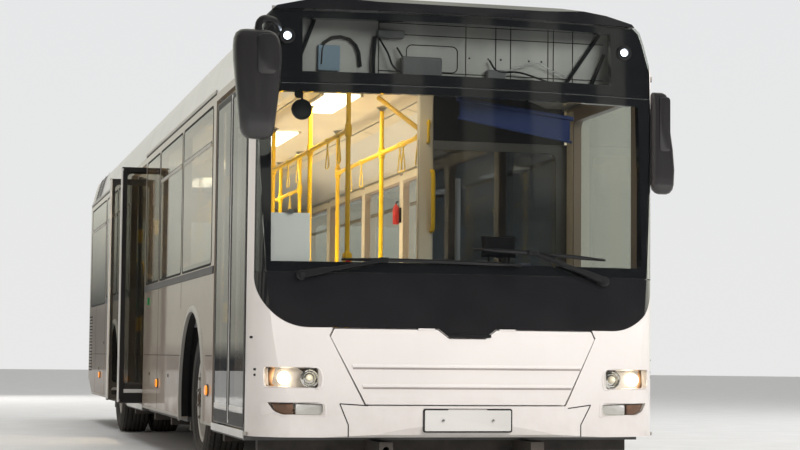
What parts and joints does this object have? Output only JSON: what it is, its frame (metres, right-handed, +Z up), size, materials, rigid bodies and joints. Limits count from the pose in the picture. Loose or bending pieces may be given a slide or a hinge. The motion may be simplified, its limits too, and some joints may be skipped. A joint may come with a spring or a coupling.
{
  "type": "low-floor city bus",
  "caption": "Rigid low-floor city bus with a wide windscreen, double doors that swing in on turning columns, steered front wheels and twin rear wheels.",
  "frame": {"origin": "on the road, midway along the overall length and width", "axes": "+Z up, -Y towards the front of the bus, +X towards its left, the driver's side"},
  "size_m": [2.92, 12.3127, 2.9679],
  "materials": {
    "body_paint": "gloss paint",
    "black_panel": "gloss",
    "clear_glass": "clear",
    "lamp_lens": "clear lens",
    "floor_cover": "matte sheet",
    "chassis_steel": "satin paint",
    "axle_iron": "dull paint",
    "wheel_paint": "silver paint",
    "tyre_rubber": "matte",
    "door_frame": "anodised black",
    "column_steel": "satin paint",
    "dash_plastic": "grained",
    "seat_cloth": "woven cloth",
    "rail_yellow": "powder coat",
    "housing_black": "gloss",
    "wiper_black": "satin paint",
    "cab_panel": "grained",
    "engine_iron": "dull"
  },
  "bodies": {
    "bus_body": {"underframe": "chassis_steel", "floor": "floor_cover", "side_wall_right": "body_paint", "side_wall_left": "body_paint", "roof": "body_paint", "front_mask": "body_paint", "front_fascia": "black_panel", "front_glass": "clear_glass", "lamps": "lamp_lens", "cockpit": "dash_plastic", "driver_seat": "seat_cloth", "cab_partition": "cab_panel", "passenger_seats": "seat_cloth", "handrails": "rail_yellow", "rear_wall": "body_paint", "side_windows": "clear_glass", "engine": "engine_iron", "mirrors": "housing_black", "wipers": "wiper_black", "front_axle": "axle_iron", "rear_axle": "axle_iron"},
    "flap": {"service_flap": "body_paint"},
    "engine_cover": {"engine_lid": "body_paint"},
    "steering_right": {"knuckle_right": "axle_iron"},
    "steering_left": {"knuckle_left": "axle_iron"},
    "wheel_front_right": {"rim_front_right": "wheel_paint", "tyre_front_right": "tyre_rubber"},
    "wheel_front_left": {"rim_front_left": "wheel_paint", "tyre_front_left": "tyre_rubber"},
    "wheels_rear_right": {"rim_rear_right": "wheel_paint", "tyre_rear_right": "tyre_rubber"},
    "wheels_rear_left": {"rim_rear_left": "wheel_paint", "tyre_rear_left": "tyre_rubber"},
    "door_front_a_arm": {"door_front_a_column": "column_steel"},
    "door_front_a": {"door_front_a_leaf": "door_frame", "door_front_a_glass": "clear_glass"},
    "door_front_b_arm": {"door_front_b_column": "column_steel"},
    "door_front_b": {"door_front_b_leaf": "door_frame", "door_front_b_glass": "clear_glass"},
    "door_middle_a_arm": {"door_middle_a_column": "column_steel"},
    "door_middle_a": {"door_middle_a_leaf": "door_frame", "door_middle_a_glass": "clear_glass"},
    "door_middle_b_arm": {"door_middle_b_column": "column_steel"},
    "door_middle_b": {"door_middle_b_leaf": "door_frame", "door_middle_b_glass": "clear_glass"}
  },
  "joints": [
    {"name": "steer_right", "type": "hinge", "parent": "bus_body", "child": "steering_right", "pos_m": [-0.93, -3.125, 0.478], "axis": [0, 0, 1], "range_deg": [-42, 42]},
    {"name": "steer_left", "type": "hinge", "parent": "bus_body", "child": "steering_left", "pos_m": [0.93, -3.125, 0.478], "axis": [0, 0, 1], "range_deg": [-42, 42]},
    {"name": "spin_front_right", "type": "hinge", "parent": "steering_right", "child": "wheel_front_right", "pos_m": [-1.05, -3.125, 0.478], "axis": [1, 0, 0], "continuous": true},
    {"name": "spin_rear_right", "type": "hinge", "parent": "bus_body", "child": "wheels_rear_right", "pos_m": [-1.05, 2.75, 0.478], "axis": [1, 0, 0], "continuous": true},
    {"name": "spin_front_left", "type": "hinge", "parent": "steering_left", "child": "wheel_front_left", "pos_m": [1.05, -3.125, 0.478], "axis": [1, 0, 0], "continuous": true},
    {"name": "spin_rear_left", "type": "hinge", "parent": "bus_body", "child": "wheels_rear_left", "pos_m": [1.05, 2.75, 0.478], "axis": [1, 0, 0], "continuous": true},
    {"name": "flap_hinge", "type": "hinge", "parent": "bus_body", "child": "flap", "pos_m": [0, -5.79347, 0.946], "axis": [1, 0, 0], "range_deg": [-80, 0]},
    {"name": "engine_cover_hinge", "type": "hinge", "parent": "bus_body", "child": "engine_cover", "pos_m": [0, 6.154, 1.434], "axis": [1, 0, 0], "range_deg": [0, 75]},
    {"name": "door_front_a_arm_turn", "type": "hinge", "parent": "bus_body", "child": "door_front_a_arm", "pos_m": [-1.16, -5.428, 1.3], "axis": [0, 0, 1], "range_deg": [-90, 0]},
    {"name": "door_front_a_turn", "type": "hinge", "parent": "door_front_a_arm", "child": "door_front_a", "pos_m": [-1.2275, -5.26, 1.3], "axis": [0, 0, 1], "range_deg": [0, 180]},
    {"name": "door_front_b_arm_turn", "type": "hinge", "parent": "bus_body", "child": "door_front_b_arm", "pos_m": [-1.16, -4.15, 1.3], "axis": [0, 0, 1], "range_deg": [0, 90]},
    {"name": "door_front_b_turn", "type": "hinge", "parent": "door_front_b_arm", "child": "door_front_b", "pos_m": [-1.2275, -4.318, 1.3], "axis": [0, 0, 1], "range_deg": [-180, 0]},
    {"name": "door_middle_a_arm_turn", "type": "hinge", "parent": "bus_body", "child": "door_middle_a_arm", "pos_m": [-1.16, 0.042, 1.3], "axis": [0, 0, 1], "range_deg": [0, 90]},
    {"name": "door_middle_a_turn", "type": "hinge", "parent": "door_middle_a_arm", "child": "door_middle_a", "pos_m": [-0.992, 0.1095, 1.3], "axis": [0, 0, 1], "range_deg": [-180, 0]},
    {"name": "door_middle_b_arm_turn", "type": "hinge", "parent": "bus_body", "child": "door_middle_b_arm", "pos_m": [-1.16, 1.32, 1.3], "axis": [0, 0, 1], "range_deg": [-90, 0]},
    {"name": "door_middle_b_turn", "type": "hinge", "parent": "door_middle_b_arm", "child": "door_middle_b", "pos_m": [-0.992, 1.2525, 1.3], "axis": [0, 0, 1], "range_deg": [0, 180]}
  ],
  "couplings": [
    {"joint": "steer_left", "follows": "steer_right", "ratio": 1},
    {"joint": "door_front_a_turn", "follows": "door_front_a_arm_turn", "ratio": -2},
    {"joint": "door_front_b_turn", "follows": "door_front_b_arm_turn", "ratio": -2},
    {"joint": "door_middle_a_turn", "follows": "door_middle_a_arm_turn", "ratio": -2},
    {"joint": "door_middle_b_turn", "follows": "door_middle_b_arm_turn", "ratio": -2}
  ]
}
